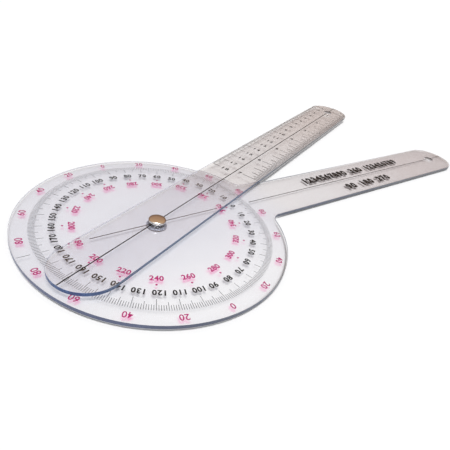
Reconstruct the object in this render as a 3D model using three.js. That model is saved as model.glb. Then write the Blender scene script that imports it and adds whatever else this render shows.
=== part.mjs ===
// Clear plastic 360 degree goniometer: a round protractor head with a fixed
// arm, a moving arm riveted on top of it, and a two-piece hollow rivet with a
// domed cap on top and a flat-bottomed cap below.
//
// Frame: millimetres, +Z up. The origin is on the pivot axis, on the flat
// bottom of the rivet's base cap, which is what the instrument rests on. The
// fixed arm points along +X. The moving arm turns about +Z and is placed at its
// rest opening.
import * as THREE from 'three';

// ---- sheets ---------------------------------------------------------------
const SHEET = 1.6;            // thickness of both plastic sheets
const SHEET_GAP = 0.2;        // air gap between the two sheets
const HEAD_RADIUS = 59.9;     // protractor head
const ARM_WIDTH = 29.4;       // both arms
const ARM_END_RADIUS = ARM_WIDTH / 2;
const ARM_REACH = 250;        // pivot to the tip of either arm
const TAIL_REACH = 56.7;      // pivot to the round back end of the moving arm
const NECK_FILLET = 6;        // between the head and the fixed arm
const HANG_HOLE_RADIUS = 3;
const HANG_HOLE_AT = 234;     // pivot to hang hole, on both arms
const PIVOT_BORE_RADIUS = 2.5;
const REST_OPENING_DEG = 22.3;

const HEAD_SEGMENTS = 260;
const FILLET_SEGMENTS = 14;
const ARM_END_SEGMENTS = 56;
const PIVOT_BORE_SEGMENTS = 64;
const HANG_HOLE_SEGMENTS = 48;
const MERGE_DISTANCE = 1e-4;  // outline points closer than this become one

// ---- rivet ----------------------------------------------------------------
const SHELL = 0.25;           // drawn sheet metal of the caps and flanges
const FIT = 0.03;             // gap between nested rivet pieces
const TURNED_SEGMENTS = 72;
const RIM_BORE = 2.75;        // radius of the opening in either cap's turned-in rim

const CAP_RADIUS = 3.9;       // top cap
const CAP_HEIGHT = 1.45;      // above the cap's own underside
const CAP_SEAT = 0.05;        // running clearance over the moving arm
const BASE_RADIUS = 4.6;      // base cap
const BASE_FLAT = 2.6;        // radius of its flat bottom
const BASE_HEIGHT = 1.1;      // stands below the underside of the head

const TUBE_RADIUS = 2.44;     // outer tube, the journal the arm turns on
const TUBE_INNER = 1.95;
const TUBE_CHAMFER = 0.08;    // outer edge of the tube's top
const TUBE_TOP_GAP = 0.08;    // below the top cap
const POST_RADIUS = 1.88;     // inner tube
const POST_INNER = 1.45;
const POST_CHAMFER = 0.1;     // inner edge of the post's top
const SOCKET_FLANGE_RADIUS = 4.08;
const POST_FLANGE_RADIUS = 3.3;
const FLANGE_CHAMFER = 0.06;
const FLARE_HEIGHT = 0.2;     // flared lower end of the post

// Levels, from the bottom up
const SOCKET_FLANGE_TOP = BASE_HEIGHT - SHELL - FIT;
const SOCKET_FLANGE_BOTTOM = SOCKET_FLANGE_TOP - SHELL;
const POST_BOTTOM = SOCKET_FLANGE_BOTTOM - FIT - FLARE_HEIGHT;
const UNDER_FIXED = BASE_HEIGHT;
const UNDER_MOVING = UNDER_FIXED + SHEET + SHEET_GAP;
const CAP_BOTTOM = UNDER_MOVING + SHEET + CAP_SEAT;
const CAP_TOP = CAP_BOTTOM + CAP_HEIGHT;
const POST_FLANGE_BOTTOM = CAP_BOTTOM + SHELL + FIT;
const POST_TOP = POST_FLANGE_BOTTOM + SHELL;

// Cap sections, as [inset from the cap's outer radius, height].
// Top cap, height above CAP_BOTTOM: outer skin from the rim up, then inner
// skin from near the axis out to the wall.
const CAP_OUTER_SKIN = [
  [0.16, 0], [0.05, 0.05], [0, 0.16], [0, 0.6], [0.04, 0.76], [0.15, 0.93],
  [0.34, 1.07], [0.62, 1.18], [1.05, 1.28], [1.7, 1.365], [2.6, 1.425],
];
const CAP_INNER_SKIN = [
  [2.6, 1.175], [1.7, 1.115], [1.1, 1.03], [0.72, 0.93],
  [0.44, 0.8], [0.3, 0.64], [SHELL, 0.5],
];
// Base cap, height above its flat bottom: inner skin from the wall inward,
// then outer skin from the flat outward.
const BASE_INNER_SKIN = [[SHELL, 0.62], [0.34, 0.5], [0.56, 0.37], [0.95, 0.285]];
const BASE_OUTER_SKIN = [[1.2, 0.03], [0.7, 0.12], [0.35, 0.25], [0.1, 0.43], [0, 0.64]];
// Base cap's top outer edge, height relative to the top of the cap
const BASE_RIM_EDGE = [[0, -0.14], [0.05, -0.04], [0.15, 0]];

// ---- materials ------------------------------------------------------------
function clearPlastic(color) {
  return new THREE.MeshStandardMaterial({
    color, roughness: 0.12, metalness: 0, transparent: true, opacity: 0.4,
  });
}

function metal({ color, roughness }) {
  return new THREE.MeshStandardMaterial({ color, roughness, metalness: 1 });
}

const lowerSheet = clearPlastic(0xe3e2ea);
const upperSheet = clearPlastic(0xddd6da);
const nickel = metal({ color: 0xb9b2a8, roughness: 0.18 });
const plainSteel = metal({ color: 0x8f9299, roughness: 0.35 });

// ---- helpers --------------------------------------------------------------
// Joins arcs, with angles in degrees, into one closed loop without doubled points.
function loopOfArcs(arcs) {
  const points = [];
  for (const { x = 0, y = 0, radius, from, to, segments } of arcs) {
    for (let i = 0; i <= segments; i++) {
      const angle = THREE.MathUtils.degToRad(from + ((to - from) * i) / segments);
      const point = new THREE.Vector2(x + radius * Math.cos(angle), y + radius * Math.sin(angle));
      const last = points.at(-1);
      if (!last || last.distanceTo(point) > MERGE_DISTANCE) points.push(point);
    }
  }
  if (points[0].distanceTo(points.at(-1)) < MERGE_DISTANCE) points.pop();
  return points;
}

function hole({ x, radius, segments }) {
  return new THREE.Path(loopOfArcs([{ x, radius, from: 360, to: 0, segments }]));
}

// A plastic sheet with the pivot bore and hang hole that both arms have.
function armSheet(arcs) {
  const shape = new THREE.Shape(loopOfArcs(arcs));
  shape.holes.push(
    hole({ x: 0, radius: PIVOT_BORE_RADIUS, segments: PIVOT_BORE_SEGMENTS }),
    hole({ x: HANG_HOLE_AT, radius: HANG_HOLE_RADIUS, segments: HANG_HOLE_SEGMENTS }),
  );
  return new THREE.ExtrudeGeometry(shape, { depth: SHEET, bevelEnabled: false, steps: 1 });
}

// A ring profile of [radius, height] pairs, closed and turned about Z.
function turned(profile) {
  const points = [...profile, profile[0]].map(([radius, z]) => new THREE.Vector2(radius, z));
  return new THREE.LatheGeometry(points, TURNED_SEGMENTS).rotateX(Math.PI / 2);
}

// Turns [inset, height] pairs into [radius, height] pairs.
function placeSkin(skin, outerRadius, level) {
  return skin.map(([inset, height]) => [outerRadius - inset, level + height]);
}

// Chamfered outer edge of a flange, from the bottom up.
function flangeEdge(radius, bottom) {
  const top = bottom + SHELL;
  return [
    [radius - FLANGE_CHAMFER, bottom], [radius, bottom + FLANGE_CHAMFER],
    [radius, top - FLANGE_CHAMFER], [radius - FLANGE_CHAMFER, top],
  ];
}

function mesh(name, geometry, material, z = 0) {
  const piece = new THREE.Mesh(geometry, material);
  piece.name = name;
  piece.position.z = z;
  return piece;
}

// ---- arms -----------------------------------------------------------------
const armTip = {
  x: ARM_REACH - ARM_END_RADIUS, radius: ARM_END_RADIUS,
  from: -90, to: 90, segments: ARM_END_SEGMENTS,
};

// Fixed arm with its protractor head
function fixedArmGeometry() {
  const filletY = ARM_END_RADIUS + NECK_FILLET;
  const filletX = Math.sqrt((HEAD_RADIUS + NECK_FILLET) ** 2 - filletY ** 2);
  const neck = THREE.MathUtils.radToDeg(Math.atan2(filletY, filletX));
  const fillet = { x: filletX, radius: NECK_FILLET, segments: FILLET_SEGMENTS };
  return armSheet([
    { radius: HEAD_RADIUS, from: neck, to: 360 - neck, segments: HEAD_SEGMENTS },
    { ...fillet, y: -filletY, from: 180 - neck, to: 90 },
    armTip,
    { ...fillet, y: filletY, from: 270, to: 180 + neck },
  ]);
}

function movingArmGeometry() {
  return armSheet([
    armTip,
    { ...armTip, x: ARM_END_RADIUS - TAIL_REACH, from: 90, to: 270 },
  ]);
}

// ---- rivet pieces ---------------------------------------------------------
// Top cap: a domed shell whose rim is turned in under the post's flange.
function topCapGeometry() {
  const rimTop = CAP_BOTTOM + SHELL;
  return turned([
    [RIM_BORE, CAP_BOTTOM],
    ...placeSkin(CAP_OUTER_SKIN, CAP_RADIUS, CAP_BOTTOM),
    [0, CAP_TOP], [0, CAP_TOP - SHELL],
    ...placeSkin(CAP_INNER_SKIN, CAP_RADIUS, CAP_BOTTOM),
    [CAP_RADIUS - SHELL, rimTop], [RIM_BORE, rimTop],
  ]);
}

// Post: inner tube with a flat flange held in the top cap; its lower end is
// flared under the socket's flange.
function postGeometry() {
  return turned([
    [POST_INNER, POST_BOTTOM],
    [POST_RADIUS + 0.4, POST_BOTTOM],
    [POST_RADIUS + 0.48, POST_BOTTOM + 0.09],
    [POST_RADIUS + 0.4, POST_BOTTOM + 0.18],
    [POST_RADIUS, POST_BOTTOM + FLARE_HEIGHT],
    [POST_RADIUS, POST_FLANGE_BOTTOM],
    ...flangeEdge(POST_FLANGE_RADIUS, POST_FLANGE_BOTTOM),
    [POST_INNER + POST_CHAMFER, POST_TOP], [POST_INNER, POST_TOP - POST_CHAMFER],
  ]);
}

// Socket: outer tube through both sheets, with its flange in the base cap.
function socketGeometry() {
  const top = CAP_BOTTOM - TUBE_TOP_GAP;
  return turned([
    [TUBE_INNER, SOCKET_FLANGE_BOTTOM],
    ...flangeEdge(SOCKET_FLANGE_RADIUS, SOCKET_FLANGE_BOTTOM),
    [TUBE_RADIUS, SOCKET_FLANGE_TOP],
    [TUBE_RADIUS, top - TUBE_CHAMFER], [TUBE_RADIUS - TUBE_CHAMFER, top], [TUBE_INNER, top],
  ]);
}

// Base cap: a wider, flatter shell against the underside of the head.
function baseCapGeometry() {
  const rimBottom = BASE_HEIGHT - SHELL;
  return turned([
    [RIM_BORE, BASE_HEIGHT], [RIM_BORE, rimBottom], [BASE_RADIUS - SHELL, rimBottom],
    ...placeSkin(BASE_INNER_SKIN, BASE_RADIUS, 0),
    [BASE_FLAT, SHELL], [0, SHELL], [0, 0], [BASE_FLAT, 0],
    ...placeSkin(BASE_OUTER_SKIN, BASE_RADIUS, 0),
    ...placeSkin(BASE_RIM_EDGE, BASE_RADIUS, BASE_HEIGHT),
  ]);
}

// ---- assembly -------------------------------------------------------------
const fixedBody = new THREE.Group();
fixedBody.add(
  mesh('fixed_arm', fixedArmGeometry(), lowerSheet, UNDER_FIXED),
  mesh('rivet_top_cap', topCapGeometry(), nickel),
  mesh('rivet_post', postGeometry(), plainSteel),
  mesh('rivet_socket', socketGeometry(), plainSteel),
  mesh('rivet_base_cap', baseCapGeometry(), nickel),
);

const movingBody = new THREE.Group();
movingBody.rotation.z = THREE.MathUtils.degToRad(REST_OPENING_DEG);
movingBody.add(mesh('moving_arm', movingArmGeometry(), upperSheet, UNDER_MOVING));

const goniometer = new THREE.Group();
goniometer.add(fixedBody, movingBody);

export default goniometer;
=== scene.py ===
"""Clear plastic two-arm goniometer: sheet, ink and metal looks, printed marks and stage.

Metres, +Z up, in the part's own frame: pivot axis through the origin, fixed arm
along +X, resting plane at z = 0. The moving arm lies above the fixed one, turned by
OPENING about the pivot.
"""
import math
from types import SimpleNamespace

import bmesh
import bpy
import numpy as np
from mathutils import Matrix, Vector


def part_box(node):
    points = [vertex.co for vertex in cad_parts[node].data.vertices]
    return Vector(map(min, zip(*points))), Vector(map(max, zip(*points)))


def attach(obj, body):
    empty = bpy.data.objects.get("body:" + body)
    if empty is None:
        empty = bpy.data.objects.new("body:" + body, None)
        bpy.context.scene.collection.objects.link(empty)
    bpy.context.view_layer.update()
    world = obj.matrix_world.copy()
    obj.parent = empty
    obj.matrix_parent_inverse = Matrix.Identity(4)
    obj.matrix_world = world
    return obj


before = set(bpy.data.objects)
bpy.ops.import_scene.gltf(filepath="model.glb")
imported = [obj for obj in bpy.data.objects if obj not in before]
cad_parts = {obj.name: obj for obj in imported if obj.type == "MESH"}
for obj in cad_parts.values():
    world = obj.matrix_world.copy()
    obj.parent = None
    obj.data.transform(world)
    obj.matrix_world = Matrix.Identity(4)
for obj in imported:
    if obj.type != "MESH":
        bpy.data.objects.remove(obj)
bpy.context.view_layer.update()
scene = bpy.context.scene
MM = 0.001

# ---------------------------------------------------------------- sizes of the two arms
fixed_low, fixed_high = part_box("fixed_arm")
moving_low, moving_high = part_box("moving_arm")
HEAD_R = -fixed_low.x                 # radius of the fixed arm's round head
REACH = fixed_high.x                  # pivot to tip
Z_FIX = fixed_high.z                  # top of the fixed sheet
Z_MOV = moving_high.z                 # top of the moving sheet
THICK = moving_high.z - moving_low.z  # both sheets
corners = np.array([v.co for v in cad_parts["moving_arm"].data.vertices], float)
farthest = corners[np.argmax(np.hypot(corners[:, 0], corners[:, 1]))]
OPENING = math.atan2(farthest[1], farthest[0])
to_arm_axes = np.array([[math.cos(OPENING), -math.sin(OPENING)],
                        [math.sin(OPENING), math.cos(OPENING)]])
arm_outline = corners[:, :2] @ to_arm_axes
HALF = arm_outline[:, 1].max()        # half the arms' width
TAIL = -arm_outline[:, 0].min()       # pivot to the moving arm's round back end
HOLE_AT = 0.234                       # pivot to hang hole centre, on both arms

# camera place and axes; the looks of the sheets depend on them too
CAMERA_AT = Vector((-92.48, -137.40, 116.53)) * MM
CAMERA_RIGHT = Vector((0.78314251, -0.59302094, 0.18712021))
CAMERA_UP = Vector((0.21127404, 0.53675696, 0.81685693))
CAMERA_BACK = Vector((-0.58485134, -0.60018175, 0.54564712))
# level directions towards the camera and to its right
VIEW = Vector((CAMERA_BACK.x, CAMERA_BACK.y, 0)).normalized()
SIDE = Vector((CAMERA_RIGHT.x, CAMERA_RIGHT.y, 0)).normalized()

# ---------------------------------------------------------------- shader node helper


class Graph:
    """Short ways to add and link the shader nodes of one material or world."""

    def __init__(self, owner, output_kind):
        owner.use_nodes = True
        self.owner = owner
        self.tree = owner.node_tree
        self.tree.nodes.clear()
        self.output = self.add(output_kind)

    def add(self, kind, inputs=None, **settings):
        """A node; inputs maps its sockets to numbers, colours or other nodes' outputs."""
        new = self.tree.nodes.new("ShaderNode" + kind)
        for key, value in settings.items():
            setattr(new, key, value)
        for key, value in (inputs or {}).items():
            self.feed(new.inputs[key], value)
        return new

    def make(self, kind, inputs=None, **settings):
        """A node's first output."""
        return self.add(kind, inputs, **settings).outputs[0]

    def feed(self, socket, value):
        if isinstance(value, bpy.types.NodeSocket):
            self.tree.links.new(value, socket)
        elif socket.type == "RGBA":
            socket.default_value = (*value, 1)
        else:
            socket.default_value = value

    def finish(self, surface):
        self.feed(self.output.inputs["Surface"], surface)
        return self.owner

    def math(self, operation, *values):
        return self.make("Math", dict(enumerate(values)), operation=operation)

    def plus(self, a, b):
        return self.math("ADD", a, b)

    def minus(self, a, b):
        return self.math("SUBTRACT", a, b)

    def times(self, a, b):
        return self.math("MULTIPLY", a, b)

    def hypot(self, a, b):
        return self.math("SQRT", self.plus(self.times(a, a), self.times(b, b)))

    def vector(self, operation, *values):
        new = self.add("VectorMath", dict(enumerate(values)), operation=operation)
        return new.outputs["Value" if operation == "DOT_PRODUCT" else "Vector"]

    def dot(self, a, b):
        return self.vector("DOT_PRODUCT", a, b)

    def noise(self, vector, scale, detail, rough, distortion=0.0):
        return self.make("TexNoise", {"Scale": scale, "Detail": detail, "Roughness": rough,
                                      "Distortion": distortion, "Vector": vector})

    def ramp(self, value, stops):
        """Colour ramp through stops of (position, colour)."""
        new = self.add("ValToRGB", {0: value})
        elements = new.color_ramp.elements
        while len(elements) < len(stops):
            elements.new(0.5)
        for element, (position, colour) in zip(elements, stops):
            element.position = position
            element.color = (*colour, 1.0)
        return new.outputs[0]

    def remap(self, value, span, to=(0.0, 1.0)):
        """The span stretched linearly on to another one, held at its ends."""
        return self.make("MapRange", {"Value": value, "From Min": span[0], "From Max": span[1],
                                      "To Min": to[0], "To Max": to[1]}, clamp=True)

    def blend(self, share, a, b):
        """Blend of two numbers: a where share is 0, b where it is 1."""
        return self.plus(self.times(self.minus(1.0, share), a), self.times(share, b))

    def mix(self, share, a, b, blend_type="MIX"):
        """Blend of two colours."""
        return self.add("Mix", {0: share, "A": a, "B": b}, data_type="RGBA",
                        blend_type=blend_type).outputs["Result"]

    def tinted(self, a, b):
        return self.mix(1.0, a, b, "MULTIPLY")

    def mix_shader(self, share, a, b):
        return self.make("MixShader", {0: share, 1: a, 2: b})

    def mapped(self, scale=(1, 1, 1), turn=0.0):
        """Object coordinates, turned about z and scaled."""
        coords = self.add("TexCoord").outputs["Object"]
        return self.make("Mapping", {"Scale": scale, "Rotation": (0, 0, turn), "Vector": coords})

    def xyz(self, vector):
        return self.add("SeparateXYZ", {0: vector}).outputs

    def bump(self, height, strength, distance):
        return self.make("Bump", {"Strength": strength, "Distance": distance, "Height": height})


def new_graph(name):
    return Graph(bpy.data.materials.new(name), "OutputMaterial")


# ---------------------------------------------------------------- clear plastic

# Looks of each sheet. Three tints are for the pivot, just past the head, and the tip;
# stops are their places as shares of 0.25 m (the middle one holds between two).
# Face tints that change along a sheet are painted shade: the plastic is the same
# throughout, and the tints set how dark each stretch reads.
# Edge colours are (dark, light) pairs of painted light and shade for the cut edge.
LOWER_LOOK = SimpleNamespace(
    angle=0.0,                        # direction of the arm
    tail=0.0,                         # pivot to the centre of the back end's rounding
    has_head=True,
    top=Z_FIX,
    stops=(0.22, 0.30, 0.42, 0.80),
    face_tints=((0.978, 0.985, 1.0), (0.985, 0.982, 0.985), (0.985, 0.958, 0.948)),
    lamp_tints=((0.934, 0.935, 0.955), (0.952, 0.945, 0.945), (0.908, 0.886, 0.886)),
    # painted shade: the face darkens over the last few millimetres at the tip
    tip_span=(0.2425, 0.2465),        # where the face darkens at the tip
    edge_back=((0.09, 0.104, 0.190), (0.14, 0.172, 0.30)),
    edge_side=((0.09, 0.105, 0.155), (0.14, 0.16, 0.22)),
    edge_tip=((0.115, 0.125, 0.15), (0.18, 0.19, 0.215)),
    greying=(0.09, 0.20),             # where the side colour turns to the tip colour
    behind=(0.82, 0.83, 0.87),        # cut edge met from inside the plastic
    edge_shade=0.80,                  # strength of the rim's shadow near the pivot
    density=26.0)                     # absorption inside the plastic
UPPER_LOOK = SimpleNamespace(
    angle=OPENING,
    tail=TAIL - HALF,
    has_head=False,
    top=Z_MOV,
    stops=(0.12, 0.27, 0.42, 0.80),
    face_tints=((1.0, 1.0, 1.0), (0.99, 0.975, 0.965), (0.987, 0.947, 0.921)),
    lamp_tints=((0.985, 0.985, 1.0), (0.920, 0.912, 0.915), (0.908, 0.884, 0.876)),
    tip_span=(0.2350, 0.2405),
    edge_back=((0.085, 0.15, 0.36), (0.14, 0.215, 0.42)),
    edge_side=((0.12, 0.17, 0.29), (0.20, 0.26, 0.37)),
    edge_tip=((0.078, 0.078, 0.086), (0.125, 0.125, 0.136)),
    greying=(0.060, 0.105),
    behind=(0.90, 0.91, 0.945),
    edge_shade=0.26,
    density=14.0)


class ClearSheet(Graph):
    """Clear moulded plastic sheet. The two faces bend what is seen through them and let
    lamps through to the ground; the cut edge is slightly frosted, in painted slate blues
    and greys that stand in for light that has come a long way through the plastic and
    for shade along the edge."""

    def __init__(self, name, look):
        super().__init__(bpy.data.materials.new(name), "OutputMaterial")
        self.look = look
        geometry = self.add("NewGeometry").outputs
        upright = self.math("ABSOLUTE", self.xyz(geometry["True Normal"])["Z"])
        self.is_edge = self.math("LESS_THAN", upright, 0.93)
        self.outside = self.minus(1.0, geometry["Backfacing"])
        place = self.add("TexCoord").outputs
        self.coords = place["Object"]
        cos, sin = math.cos(look.angle), math.sin(look.angle)
        self.reach = self.dot(self.coords, (cos, sin, 0))   # along the arm
        self.aside = self.dot(self.coords, (-sin, cos, 0))  # off its centre line
        self.along = self.remap(self.reach, span=(0.0, 0.25))
        self.tipward = self.dot(place["Normal"], (cos, sin, 0))
        self.across = self.dot(self.coords, tuple(SIDE))    # to the camera's right
        if look.has_head:
            self.front = self.dot(self.coords, (0.0, -1.0, 0.0))  # towards -Y

    def build(self):
        seen = self.mix_shader(self.is_edge, self.face(), self.edge())
        through = self.make("BsdfTransparent", {"Color": self.lamp_colour()})
        rays = self.add("LightPath").outputs
        lamp = self.math("MAXIMUM", rays["Is Shadow Ray"], rays["Is Diffuse Ray"])
        volume = self.make("VolumeAbsorption", {"Color": (0.40, 0.46, 0.62),
                                                "Density": self.look.density})
        self.feed(self.output.inputs["Volume"], volume)
        return self.finish(self.mix_shader(lamp, seen, through))

    def along_arm(self, tints):
        near, root, far = tints
        return self.ramp(self.along, list(zip(self.look.stops, (near, root, root, far))))

    def face(self):
        look, coords = self.look, self.coords
        # handling scratches: fine streaks that cross the sheet in two directions
        streaks = [self.noise(self.mapped(scale, look.angle + turn),
                              scale=1.0, detail=4.0, rough=0.65, distortion=0.4)
                   for scale, turn in (((260, 4200, 60), 0.5), ((3800, 210, 60), 0.2))]
        scuffs = self.remap(self.math("MAXIMUM", *streaks), span=(0.66, 0.82))
        smear = self.noise(coords, scale=38.0, detail=4.0, rough=0.6, distortion=0.6)
        rough = self.plus(self.remap(smear, span=(0.35, 0.75), to=(0.004, 0.022)),
                          self.times(scuffs, 0.05))
        waves = self.noise(coords, scale=22.0, detail=2.0, rough=0.5)
        height = self.plus(self.times(waves, 1.6), self.times(scuffs, -0.12))
        bump = self.bump(height, strength=0.2, distance=1e-5)

        tint = self.along_arm(look.face_tints)
        # painted light: the face tint lightens to white towards the front of the head
        if look.has_head:
            front_lightening = self.remap(self.front, span=(0.015, 0.047))
            tint = self.mix(front_lightening, tint, (1.0, 1.0, 1.0))
        # painted shade: the last few millimetres are darker, standing in for the arm's shadow on the
        # ground seen through the tip
        tint = self.mix(self.remap(self.reach, span=look.tip_span), tint,
                        self.tinted(tint, (0.79, 0.755, 0.74)))
        clouding = self.noise(coords, scale=55.0, detail=4.0, rough=0.6, distortion=0.5)
        cloud = self.ramp(clouding, [(0.30, (0.972, 0.974, 0.98)), (0.70, (1.0, 1.0, 1.0))])
        marks = self.ramp(scuffs, [(0.0, (1.0, 1.0, 1.0)), (1.0, (0.90, 0.90, 0.91))])
        tint = self.tinted(self.tinted(tint, cloud), marks)
        return self.make("BsdfPrincipled", {"IOR": 1.49, "Transmission Weight": 1.0,
                                            "Base Color": tint, "Roughness": rough,
                                            "Normal": bump})

    def edge(self):
        """Cut edge: painted back, side and tip colours of light and shade, with fine saw marks;
        clearer from inside.
        """
        look = self.look
        saw = self.noise(self.mapped((900, 900, 5200)),
                         scale=1.0, detail=3.0, rough=0.6, distortion=0.2)
        broad = self.noise(self.coords, scale=34.0, detail=2.0, rough=0.5)
        shade = self.plus(self.times(saw, 0.35), self.times(broad, 0.65))
        back, side, tip = [self.ramp(shade, [(0.34, dark), (0.66, light)])
                           for dark, light in (look.edge_back, look.edge_side, look.edge_tip)]
        backward = self.remap(self.tipward, span=(-0.75, -0.10), to=(1.0, 0.0))
        colour = self.mix(backward, side, back)
        colour = self.mix(self.remap(self.reach, span=look.greying), colour, tip)

        # painted shade and light: the walls of the hang hole are dark above and pale below
        from_hole = self.hypot(self.minus(self.reach, HOLE_AT), self.aside)
        in_hole = self.math("LESS_THAN", from_hole, 0.0045)
        level = self.remap(self.xyz(self.coords)[2], span=(look.top - THICK, look.top))
        wall = self.ramp(level, [(0.50, (0.54, 0.50, 0.49)), (0.88, (0.10, 0.06, 0.055))])
        colour = self.mix(in_hole, colour, wall)
        frosted = self.make("BsdfPrincipled", {
            "Base Color": colour, "IOR": 1.45,
            "Roughness": self.remap(saw, span=(0.3, 0.7), to=(0.22, 0.4))})
        return self.mix_shader(self.outside, self.edge_from_inside(), frosted)

    def edge_from_inside(self):
        look = self.look
        # painted shade: seen from inside, the cut edge turns dark brown towards the tip, and grey on
        # the head's right side
        colour = self.mix(self.remap(self.reach, span=(0.20, 0.245)),
                          look.behind, (0.42, 0.30, 0.26))
        colour = self.mix(self.remap(self.tipward, span=(0.25, 0.6)), look.behind, colour)
        rightward = self.remap(self.across, span=(0.042, 0.056))
        if look.has_head:
            near_head = self.remap(self.reach, span=(0.10, 0.16), to=(1.0, 0.0))
            colour = self.mix(self.times(rightward, near_head), colour, (0.42, 0.44, 0.48))
        clear = self.make("BsdfTransparent", {"Color": colour})
        # painted light: a pale line along the cut edge seen from inside near the pivot, fading out
        # past the head
        painted_light_line = self.make("BsdfDiffuse", {"Color": (0.93, 0.93, 0.97)})
        light_line_share = self.times(self.remap(self.reach, span=(0.055, 0.075), to=(0.30, 0.0)),
                               self.minus(1.0, rightward))
        return self.mix_shader(light_line_share, clear, painted_light_line)

    def bar_depth(self, point, angle, start, end, half):
        """Distance inside a round-ended bar laid along the angle from start to end."""
        cos, sin = math.cos(angle), math.sin(angle)
        u = self.dot(point, (cos, sin, 0))
        v = self.dot(point, (-sin, cos, 0))
        over = self.math("MAXIMUM", self.minus(u, end), 0.0)
        under = self.math("MAXIMUM", self.minus(start, u), 0.0)
        return self.minus(half, self.hypot(self.plus(over, under), v))

    def depth_at(self, point):
        """Distance inside the sheet's outline."""
        look = self.look
        depth = self.bar_depth(point, look.angle, -look.tail, REACH - HALF, HALF)
        if look.has_head:
            head = self.bar_depth(point, angle=0.0, start=0.0, end=0.0, half=HEAD_R)
            join_width = 0.012
            depth = self.math("SMOOTH_MAX", depth, head, join_width)
        return depth

    def lamp_colour(self):
        """Colour lamps take through the faces. Close to the cut edge it turns near black,
        standing in for lamp light thrown aside by the edge; this is strongest on the edges
        facing the camera, which paints a shadow band on the ground just below them."""
        look, reach = self.look, self.reach
        depth = self.depth_at(self.coords)
        level_offset = self.vector("MULTIPLY", self.vector("SUBTRACT", tuple(CAMERA_AT), self.coords),
                                   (1.0, 1.0, 0.0))
        step = self.vector("MULTIPLY", self.vector("NORMALIZE", level_offset),
                           (0.001, 0.001, 0.0))
        nearer = self.depth_at(self.vector("ADD", self.coords, step))
        turned_to = self.minus(depth, nearer)
        facing = self.remap(turned_to, span=(0.0, 0.0003), to=(0.10, 1.0))
        if look.has_head:
            # the head: little on its left, much further round on its right
            left = self.remap(turned_to, span=(0.0003, 0.0008), to=(0.10, 1.0))
            right = self.remap(turned_to, span=(-0.0007, -0.0001), to=(0.10, 1.0))
            head = self.blend(self.remap(self.across, span=(0.010, 0.040)), left, right)
            facing = self.blend(self.remap(reach, span=(0.060, 0.068)), head, facing)
        strength = self.times(facing, self.remap(reach, span=(0.052, 0.075),
                                                 to=(look.edge_shade, 0.97)))
        head_band = self.remap(depth, span=(0.0005, 0.0010), to=(1.0, 0.0))
        arm_band = self.remap(depth, span=(0.0009, 0.0016), to=(1.0, 0.0))
        band = self.blend(self.remap(reach, span=(0.060, 0.075)), head_band, arm_band)
        rim = self.times(band, strength)
        colour = self.along_arm(look.lamp_tints)
        # painted light: lamps pass more freely towards the front of the head, lightening its shadow
        # there
        if look.has_head:
            front_lightening = self.remap(self.front, span=(0.014, 0.045))
            colour = self.mix(front_lightening, colour, (0.99, 0.992, 1.0))
        colour = self.mix(rim, colour, (0.10, 0.11, 0.13))
        return self.mix(self.is_edge, colour, (0.13, 0.14, 0.17))


# ---------------------------------------------------------------- ink and metal


def printed_ink(name, full, thin, shadow):
    """Screen printed ink: slightly uneven cover, and a tinted shadow through the sheet."""
    g = new_graph(name)
    coords = g.mapped()
    cover = g.noise(coords, scale=2600.0, detail=3.0, rough=0.6)
    blot = g.noise(coords, scale=420.0, detail=2.0, rough=0.5)
    mixed = g.plus(g.times(cover, 0.55), g.times(blot, 0.45))
    body = g.make("BsdfPrincipled", {
        "Base Color": g.ramp(mixed, [(0.30, full), (0.52, full), (0.74, thin)]),
        "Specular IOR Level": 0.22,
        "Roughness": g.remap(cover, span=(0.3, 0.7), to=(0.35, 0.57)),
        "Normal": g.bump(cover, strength=0.3, distance=1e-5)})
    through = g.make("BsdfTransparent", {"Color": shadow})
    shadow_ray = g.add("LightPath").outputs["Is Shadow Ray"]
    return g.finish(g.mix_shader(shadow_ray, body, through))


def plated(name, bright, dull, rough, ring, metallic):
    """Plated sheet metal: rings round the pivot, fine wear, small dulled spots."""
    g = new_graph(name)
    coords = g.mapped()
    wear = g.noise(coords, scale=900.0, detail=5.0, rough=0.65, distortion=0.8)
    patina = g.noise(coords, scale=260.0, detail=3.0, rough=0.6, distortion=0.4)
    dulling = g.plus(g.times(wear, 0.4), g.times(patina, 0.6))
    x, y, _ = g.xyz(coords)
    rings_per_metre = 26000.0         # in radians
    rings = g.math("SINE", g.times(g.hypot(x, y), rings_per_metre))
    height = g.plus(g.times(rings, ring), g.times(wear, 1.2))
    return g.finish(g.make("BsdfPrincipled", {
        "Metallic": metallic,
        "Base Color": g.ramp(dulling, [(0.36, bright), (0.56, bright), (0.76, dull)]),
        "Roughness": g.remap(wear, span=(0.3, 0.72), to=rough),
        "Normal": g.bump(height, strength=0.35, distance=6e-6)}))


SHEET_LOWER = ClearSheet("clear_sheet_lower", LOWER_LOOK).build()
SHEET_UPPER = ClearSheet("clear_sheet_upper", UPPER_LOOK).build()
BLACK = (0.010, 0.009, 0.009)
THIN_BLACK = (0.045, 0.041, 0.040)
THIN_PINK = (0.54, 0.09, 0.26)
INK_BOLD = printed_ink("ink_bold_black", full=BLACK, thin=(0.03, 0.027, 0.026),
                       shadow=(0.32, 0.31, 0.33))
INK_BLACK = printed_ink("ink_black", full=BLACK, thin=THIN_BLACK, shadow=(0.54, 0.53, 0.56))
INK_CENTRE = printed_ink("ink_centre_line", full=BLACK, thin=THIN_BLACK,
                         shadow=(0.78, 0.77, 0.78))
INK_LINE = printed_ink("ink_hairline", full=(0.022, 0.019, 0.020), thin=(0.07, 0.062, 0.060),
                       shadow=(0.55, 0.54, 0.56))
INK_GREY = printed_ink("ink_grey", full=(0.085, 0.085, 0.09), thin=(0.16, 0.16, 0.168),
                       shadow=(0.60, 0.60, 0.62))
INK_PINK = printed_ink("ink_pink", full=(0.44, 0.030, 0.165), thin=THIN_PINK,
                       shadow=(1.0, 0.52, 0.76))
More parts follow.
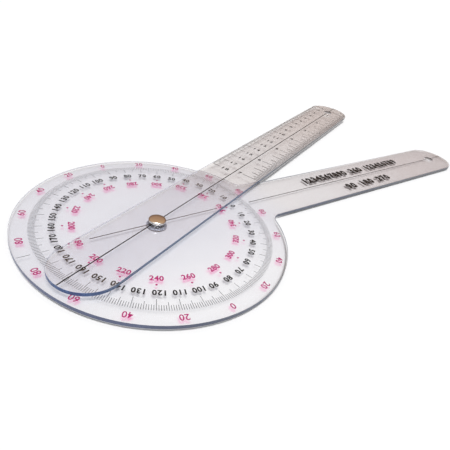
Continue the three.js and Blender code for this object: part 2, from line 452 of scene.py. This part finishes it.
INK_PINK_PALE = printed_ink("ink_pink_pale", full=(0.41, 0.024, 0.145), thin=THIN_PINK,
                            shadow=(1.0, 0.56, 0.78))
CAP_METAL = plated("nickel_plate", bright=(0.80, 0.76, 0.71), dull=(0.62, 0.57, 0.52),
                   rough=(0.07, 0.20), ring=0.25, metallic=1.0)
BASE_METAL = plated("satin_zinc", bright=(0.44, 0.47, 0.54), dull=(0.32, 0.35, 0.41),
                    rough=(0.62, 0.78), ring=0.1, metallic=0.25)
TUBE_METAL = plated("rivet_tube_metal", bright=(0.66, 0.69, 0.75), dull=(0.50, 0.52, 0.57),
                    rough=(0.30, 0.5), ring=0.1, metallic=0.35)

# ---------------------------------------------------------------- arms and rivet

SHEETS = {"fixed_arm": SHEET_LOWER, "moving_arm": SHEET_UPPER}
RIVET = {"rivet_top_cap": CAP_METAL, "rivet_base_cap": BASE_METAL,
         "rivet_post": TUBE_METAL, "rivet_socket": TUBE_METAL}


def dress(name, material):
    """Give a piece its material and weld its doubled vertices."""
    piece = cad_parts[name]
    piece.data.materials.clear()
    piece.data.materials.append(material)
    weld = piece.modifiers.new("weld", "WELD")
    weld.merge_threshold = 1e-6
    return piece


for name, material in SHEETS.items():
    # edges of the sheets are broken by a hair, so that they catch light
    bevel = dress(name, material).modifiers.new("edge_break", "BEVEL")
    bevel.width = 0.00006
    bevel.segments = 2
    bevel.limit_method = "ANGLE"
    bevel.angle_limit = math.radians(50)
for name, material in RIVET.items():
    metal = dress(name, material).data
    metal.shade_smooth()
    metal.set_sharp_from_angle(angle=math.radians(40))

# ---------------------------------------------------------------- figures


def make_glyph(char, embolden):
    """Vertices and faces of a closed prism for one character, straight from the font."""
    curve = bpy.data.curves.new("g", "FONT")
    curve.body = char
    curve.size = 1.0
    curve.offset = embolden
    curve.extrude = 0.05
    curve.resolution_u = 3
    obj = bpy.data.objects.new("g", curve)
    scene.collection.objects.link(obj)
    bpy.context.view_layer.update()
    depsgraph = bpy.context.evaluated_depsgraph_get()
    mesh = bpy.data.meshes.new_from_object(obj.evaluated_get(depsgraph))
    bpy.data.objects.remove(obj)
    bpy.data.curves.remove(curve)
    bm = bmesh.new()
    bm.from_mesh(mesh)
    bmesh.ops.remove_doubles(bm, verts=bm.verts, dist=1e-5)
    bmesh.ops.recalc_face_normals(bm, faces=bm.faces)
    verts = np.array([v.co for v in bm.verts], float)
    faces = [tuple(v.index for v in face.verts) for face in bm.faces]
    bm.free()
    bpy.data.meshes.remove(mesh)
    return verts, faces


def load_glyphs(embolden, width):
    """The ten figures, each centred on its own box across, z 0 or 1. An 8 is 1 high and
    the given width."""
    glyphs = {char: make_glyph(char, embolden) for char in "0123456789"}
    eight = glyphs["8"][0]
    bottom, top = eight[:, 1].min(), eight[:, 1].max()
    scale_y = 1.0 / (top - bottom)
    scale_x = width / (eight[:, 0].max() - eight[:, 0].min())
    for verts, _ in glyphs.values():
        middle = (verts[:, 0].min() + verts[:, 0].max()) / 2
        verts[:, 0] = (verts[:, 0] - middle) * scale_x
    for verts, _ in glyphs.values():
        verts[:, 1] = (verts[:, 1] - (bottom + top) / 2) * scale_y
        verts[:, 2] = (verts[:, 2] > 0).astype(float)
    return glyphs


BOLD = load_glyphs(embolden=0.033, width=0.63)
PLAIN = load_glyphs(embolden=0.014, width=0.60)
HEAVY = load_glyphs(embolden=0.066, width=0.67)
RULER = load_glyphs(embolden=0.026, width=0.74)

# ---------------------------------------------------------------- printed marks

INK = 0.018 * MM                      # how thick the printed ink stands
LIFT = 0.006 * MM                     # clear of the sheet's own face


class Print:
    """Closed thin prisms of ink collected into one mesh, on the face at height z."""

    def __init__(self, z, glyphs=None):
        self.z = z
        self.glyphs = glyphs
        self.verts, self.faces = [], []

    def prism(self, outline):
        """outline: counter-clockwise and convex."""
        n, start = len(outline), len(self.verts)
        for z in (self.z + LIFT, self.z + LIFT + INK):
            self.verts += [(x, y, z) for x, y in outline]
        self.faces.append(tuple(start + n + i for i in range(n)))
        self.faces.append(tuple(start + i for i in reversed(range(n))))
        for i in range(n):
            j = (i + 1) % n
            self.faces.append((start + i, start + j, start + n + j, start + n + i))

    def line(self, a, b, width):
        a, b = np.array(a, float), np.array(b, float)
        along = b - a
        along /= np.hypot(*along)
        aside = np.array([-along[1], along[0]]) * width / 2
        self.prism([tuple(p) for p in (a - aside, b - aside, b + aside, a + aside)])

    def disc(self, centre, radius, n=16):
        turns = [2 * math.pi * i / n for i in range(n)]
        self.prism([(centre[0] + radius * math.cos(t), centre[1] + radius * math.sin(t))
                    for t in turns])

    def glyph(self, char, centre, angle, height):
        """One character, centred, its top towards angle + 90 degrees."""
        verts, faces = self.glyphs[char]
        cos, sin = math.cos(angle), math.sin(angle)
        base = len(self.verts)
        for x, y, z in verts:
            x, y = x * height, y * height
            self.verts.append((centre[0] + x * cos - y * sin, centre[1] + x * sin + y * cos,
                               self.z + LIFT + INK * z))
        self.faces += [tuple(base + i for i in face) for face in faces]

    def text(self, string, centre, angle, height, step=0.0, first=None):
        """Characters a fixed step apart; first is the first one's place in steps from
        the centre (the row is centred without it)."""
        if first is None:
            first = -(len(string) - 1) / 2
        for i, char in enumerate(string):
            if char == " ":
                continue
            d = (first + i) * step
            place = (centre[0] + d * math.cos(angle), centre[1] + d * math.sin(angle))
            self.glyph(char, place, angle, height)

    def build(self, name, material, body, turn=0.0):
        """Make the object, turned about the pivot, riding on a body."""
        verts = np.array(self.verts, float)
        if turn:
            cos, sin = math.cos(turn), math.sin(turn)
            x, y, z = verts.T
            verts = np.stack([x * cos - y * sin, x * sin + y * cos, z], 1)
        mesh = bpy.data.meshes.new(name)
        mesh.from_pydata([tuple(p) for p in verts], [], self.faces)
        bm = bmesh.new()
        bm.from_mesh(mesh)
        bmesh.ops.recalc_face_normals(bm, faces=bm.faces)
        bm.to_mesh(mesh)
        bm.free()
        mesh.materials.append(material)
        obj = bpy.data.objects.new(name, mesh)
        scene.collection.objects.link(obj)
        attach(obj, body)


def polar(radius, degrees):
    return (radius * math.cos(math.radians(degrees)), radius * math.sin(math.radians(degrees)))


def tick_start(k, table):
    """Where tick k starts, from rows of (every so many ticks, start in mm)."""
    return next(start for every, start in table if k % every == 0) * MM


# degree ticks round the head, and a short mark at 180 degrees outside them
R_TICK = 52.8 * MM
DEGREE_TICKS = ((10, 47.2), (5, 48.7), (1, 50.1))
marks = Print(Z_FIX)
for d in range(360):
    marks.line(polar(tick_start(d, DEGREE_TICKS), d), polar(R_TICK, d), 0.19 * MM)
marks.line(polar(54.3 * MM, 180), polar(HEAD_R - 0.6 * MM, 180), 0.22 * MM)
marks.build("print_degree_ticks", INK_GREY, "fixed_body")

# black numerals, 0 to 180 both ways, tops outward; a row of three figures is shifted
# so that its last two are near the radial line
R_BLACK = 43.8 * MM
HEAD_FIGURE = 2.85 * MM
marks = Print(Z_FIX, BOLD)
for d in range(0, 360, 10):
    string = str(min(d, 360 - d))
    marks.text(string, polar(R_BLACK, d), math.radians(d - 90), HEAD_FIGURE,
               step=1.97 * MM, first=-1.62 if len(string) > 2 else None)
marks.build("print_black_numerals", INK_BLACK, "fixed_body")

# pink inner numerals, 360 down to 180 both ways, tops inward, with a dot outside each
R_PINK = 35.9 * MM
R_DOT = 39.6 * MM
marks = Print(Z_FIX, BOLD)
for d in range(0, 360, 20):
    marks.text(str(360 - min(d, 360 - d)), polar(R_PINK, d), math.radians(d + 90),
               HEAD_FIGURE, step=1.87 * MM)
    marks.disc(polar(R_DOT, d), 0.46 * MM)
marks.build("print_pink_inner_numerals", INK_PINK, "fixed_body")

# pink outer numerals, counted from 90 degrees each side
R_OUTER = 56.3 * MM
marks = Print(Z_FIX, PLAIN)
for d in range(-170, 190, 20):
    marks.text(str(abs(90 - abs(d))), polar(R_OUTER, d), math.radians(d - 90), 3.0 * MM,
               step=2.04 * MM)
marks.build("print_pink_outer_numerals", INK_PINK_PALE, "fixed_body")

# centre lines stop short of the rivet, the hang hole and the tip
RIVET_GAP = 2.9 * MM
BEFORE_HOLE = HOLE_AT - 3.2 * MM
PAST_HOLE = (HOLE_AT + 3.2 * MM, REACH - 0.3 * MM)


def centre_line(z, pieces, width):
    """Lines along the arm's axis, one for each (start, end)."""
    marks = Print(z)
    for start, end in pieces:
        marks.line((start, 0), (end, 0), width)
    return marks


# fixed arm: across the head, then on from the ticks to the tip
centre_line(Z_FIX, ((-31.2 * MM, -RIVET_GAP), (RIVET_GAP, 33.4 * MM),
                    (54.4 * MM, BEFORE_HOLE), PAST_HOLE),
            0.45 * MM).build("print_fixed_centre_line", INK_LINE, "fixed_body")

# two rows of plain figures on the fixed arm
ARM_FIGURE = 5.6 * MM
marks = Print(Z_FIX, HEAVY)
marks.text("1234567890 360 123456789", (149.6 * MM, 6.3 * MM), 0.0, ARM_FIGURE, step=4.0 * MM)
marks.text("90 180 270", (148.2 * MM, -7.6 * MM), 0.0, ARM_FIGURE, step=4.35 * MM)
marks.build("print_fixed_arm_figures", INK_BOLD, "fixed_body")

centre_line(Z_MOV, ((-TAIL + 0.08 * MM, -RIVET_GAP), (RIVET_GAP, BEFORE_HOLE), PAST_HOLE),
            0.52 * MM).build("print_moving_centre_line", INK_CENTRE, "moving_body", OPENING)


def half_width(u):
    """How far the arm's outline is from its centre line at distance u from the pivot."""
    past = u - (REACH - HALF)
    return HALF if past <= 0 else math.sqrt(max(HALF ** 2 - past ** 2, 0.0))


def ruler_ticks(name, counts, pitch, table, side, width):
    """Ticks counted from the tip, pitch mm apart, on the side (+1 or -1) of the centre
    line; those the round end leaves too short are dropped."""
    marks = Print(Z_MOV)
    for k in counts:
        u = REACH - k * pitch * MM
        inner = tick_start(k, table)
        outer = half_width(u) - 0.22 * MM
        if outer - inner > 0.5 * MM:
            low, high = sorted((side * inner, side * outer))
            marks.line((u, low), (u, high), width)
    marks.build(name, INK_LINE, "moving_body", OPENING)


# moving arm: centimetre scale along its left edge towards the tip, inch scale on its right
INCH = 25.4                           # mm
ruler_ticks("print_cm_ticks", range(2, 181), pitch=1, side=1, width=0.34 * MM,
            table=((10, 8.8), (5, 11.6), (1, 12.9)))
ruler_ticks("print_inch_ticks", range(1, 7 * 16 + 1), pitch=INCH / 16, side=-1,
            width=0.42 * MM, table=((16, 4.7), (8, 5.4), (4, 7.6), (2, 10.0), (1, 11.4)))

RULER_FIGURE = 2.75 * MM
marks = Print(Z_MOV, RULER)
for k in range(1, 19):
    marks.text(str(k), (REACH - k * 10 * MM, 8.4 * MM), -math.pi / 2, RULER_FIGURE,
               step=2.6 * MM, first=0.5)
for k in range(1, 8):
    marks.text(str(k), (REACH - k * INCH * MM, -2.75 * MM), -math.pi / 2, RULER_FIGURE)
marks.build("print_ruler_numerals", INK_BLACK, "moving_body", OPENING)

# ---------------------------------------------------------------- stage


def build_floor():
    half = 6.0
    mesh = bpy.data.meshes.new("floor")
    mesh.from_pydata([(-half, -half, 0), (half, -half, 0), (half, half, 0), (-half, half, 0)],
                     [], [(0, 1, 2, 3)])
    floor = bpy.data.objects.new("floor", mesh)
    scene.collection.objects.link(floor)
    floor.location.z = -0.00002       # just clear of the resting plane
    g = new_graph("floor_white")
    white = g.make("BsdfDiffuse", {"Color": (0.93, 0.93, 0.935)})
    mesh.materials.append(g.finish(white))


def build_camera():
    data = bpy.data.cameras.new("camera")
    data.sensor_fit = "HORIZONTAL"
    data.sensor_width = 36.0
    data.lens = 35.7328
    data.clip_start = 0.005
    data.clip_end = 50
    camera = bpy.data.objects.new("camera", data)
    scene.collection.objects.link(camera)
    axes = Matrix((CAMERA_RIGHT, CAMERA_UP, CAMERA_BACK)).transposed()
    camera.matrix_world = Matrix.Translation(CAMERA_AT) @ axes.to_4x4()
    scene.camera = camera


def build_key():
    """Soft key from above, tilted a little towards the camera and its right."""
    data = bpy.data.lights.new("key", "SUN")
    data.energy = 2.56
    data.angle = math.radians(25)
    data.color = (1.0, 0.998, 0.995)
    sun = bpy.data.objects.new("key", data)
    scene.collection.objects.link(sun)
    towards = (Vector((0, 0, 1)) + VIEW * math.tan(math.radians(9))
               + SIDE * math.tan(math.radians(2)))
    sun.rotation_euler = towards.to_track_quat("Z", "Y").to_euler()


# colours of the room by height of the direction: away from the camera, and on its side
ROOM_FAR = [
    (0.0, (0.16, 0.11, 0.085)), (0.30, (0.22, 0.13, 0.09)), (0.50, (0.42, 0.26, 0.17)),
    (0.72, (0.55, 0.36, 0.22)), (0.90, (0.62, 0.44, 0.30)), (0.96, (1.3, 1.27, 1.22)),
    (1.0, (1.7, 1.7, 1.7))]
ROOM_NEAR = [
    (0.0, (0.55, 0.60, 0.68)), (0.20, (0.42, 0.46, 0.53)), (0.36, (0.85, 0.87, 0.92)),
    (0.50, (0.45, 0.43, 0.42)), (0.66, (0.30, 0.29, 0.29)), (0.80, (0.55, 0.52, 0.48)),
    (0.90, (1.7, 1.7, 1.68)), (1.0, (1.7, 1.7, 1.7))]


def build_world():
    """Even white light, while what shines in the plastic and metal is a room that is
    warm and dim low on the far side and bright overhead."""
    world = bpy.data.worlds.new("world")
    scene.world = world
    g = Graph(world, "OutputWorld")
    direction = g.add("TexCoord").outputs["Generated"]
    height = g.xyz(direction)["Z"]
    nearness = g.remap(g.dot(direction, tuple(VIEW)), span=(-0.15, 0.25))
    room = g.mix(nearness, g.ramp(height, ROOM_FAR), g.ramp(height, ROOM_NEAR))
    shining = g.make("Background", {"Color": room})
    lighting = g.make("Background", {"Color": (1, 1, 1), "Strength": 0.32})
    backdrop = g.make("Background", {"Color": (1, 1, 1), "Strength": 1.0})
    rays = g.add("LightPath").outputs
    shiny = g.math("MAXIMUM", rays["Is Glossy Ray"], rays["Is Transmission Ray"])
    unseen = g.mix_shader(shiny, lighting, shining)
    g.finish(g.mix_shader(rays["Is Camera Ray"], unseen, backdrop))


build_floor()
build_camera()
build_key()
build_world()

scene.view_settings.view_transform = "Standard"
scene.view_settings.look = "None"
scene.view_settings.exposure = 0.0
scene.view_settings.gamma = 1.0
cycles = scene.cycles
cycles.caustics_refractive = False
cycles.caustics_reflective = False
cycles.max_bounces = 24
cycles.transmission_bounces = 24
cycles.glossy_bounces = 8
cycles.transparent_max_bounces = 32
cycles.use_denoising = True
cycles.denoiser = "OPENIMAGEDENOISE"
cycles.denoising_input_passes = "RGB_ALBEDO_NORMAL"
cycles.denoising_prefilter = "ACCURATE"
